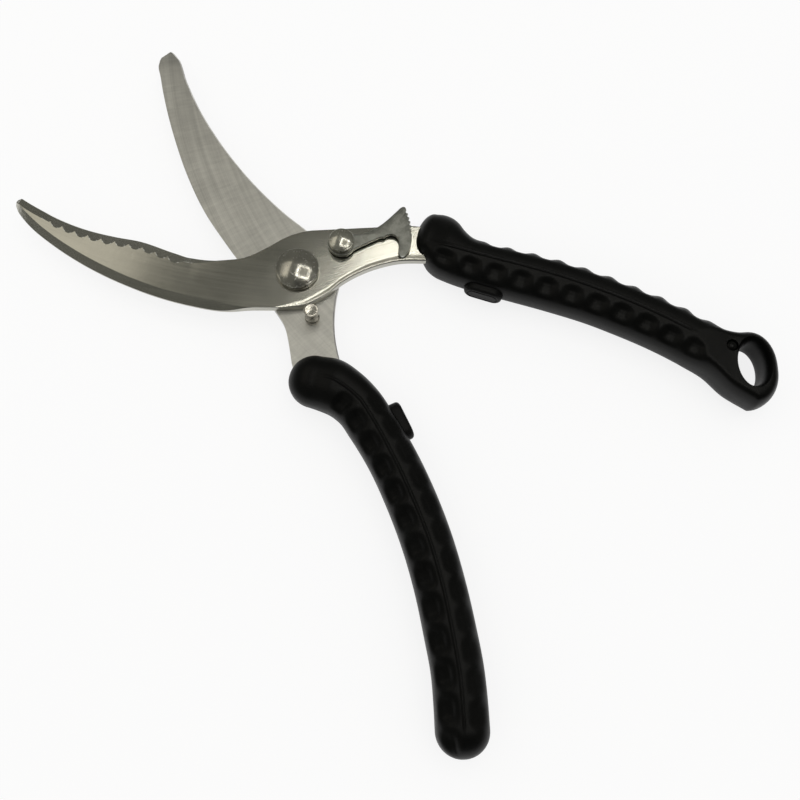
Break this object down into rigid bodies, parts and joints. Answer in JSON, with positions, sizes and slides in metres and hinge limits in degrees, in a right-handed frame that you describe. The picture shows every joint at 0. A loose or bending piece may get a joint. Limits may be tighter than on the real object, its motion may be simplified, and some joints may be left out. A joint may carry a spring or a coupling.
{
  "type": "bait shears",
  "caption": "Spring-opened bait shears with curved steel blades, one scalloped, a swinging lock catch and dimpled black grips, one ending in a hanging ring.",
  "frame": {"origin": "on the pivot axis, at the flat back face of the pivot's back head", "axes": "+X from the tip of the upper blade through the pivot towards its grip, +Y to the left of that seen from above, +Z along the pivot axis towards the domed head"},
  "size_m": [0.2524, 0.202, 0.0161],
  "materials": {
    "upper_blade": "satin ground stainless steel, the scalloped bevels darker",
    "lower_blade": "flat ground stainless steel with fine crossing grind lines",
    "pivot_rivet": "polished steel dome",
    "pivot_washer": "plain steel",
    "pivot_back_head": "polished steel",
    "opening_spring": "drawn spring wire",
    "catch_lever": "matt stamped stainless steel",
    "catch_washer": "plain steel",
    "catch_rivet": "polished steel dome",
    "lock_pin": "bright nickel plate",
    "grip_a": "black moulded plastic with a satin skin",
    "grip_plug": "black plastic",
    "stop_a": "black soft stop",
    "grip_b": "black moulded plastic with a satin skin",
    "stop_b": "black soft stop"
  },
  "bodies": {
    "upper_arm": {"upper_blade": "upper_blade", "grip_a": "grip_a", "grip_plug": "grip_plug", "stop_a": "stop_a", "pivot_rivet": "pivot_rivet", "pivot_washer": "pivot_washer", "pivot_back_head": "pivot_back_head", "opening_spring": "opening_spring", "catch_rivet": "catch_rivet", "catch_washer": "catch_washer"},
    "lower_arm": {"lower_blade": "lower_blade", "grip_b": "grip_b", "stop_b": "stop_b", "lock_pin": "lock_pin"},
    "catch": {"catch_lever": "catch_lever"}
  },
  "joints": [
    {"name": "shears_hinge", "type": "hinge", "parent": "upper_arm", "child": "lower_arm", "pos_m": [0, 0, 0.00575], "axis": [0, 0, 1], "range_deg": [0, 47], "stiffness_Nm_per_rad": 0.4, "springref_deg": -28.65, "deforming": ["opening_spring"]},
    {"name": "catch_hinge", "type": "hinge", "parent": "upper_arm", "child": "catch", "pos_m": [0.0115, 0.0122, 0.01], "axis": [0, 0, 1], "range_deg": [-90.5, 0]}
  ]
}
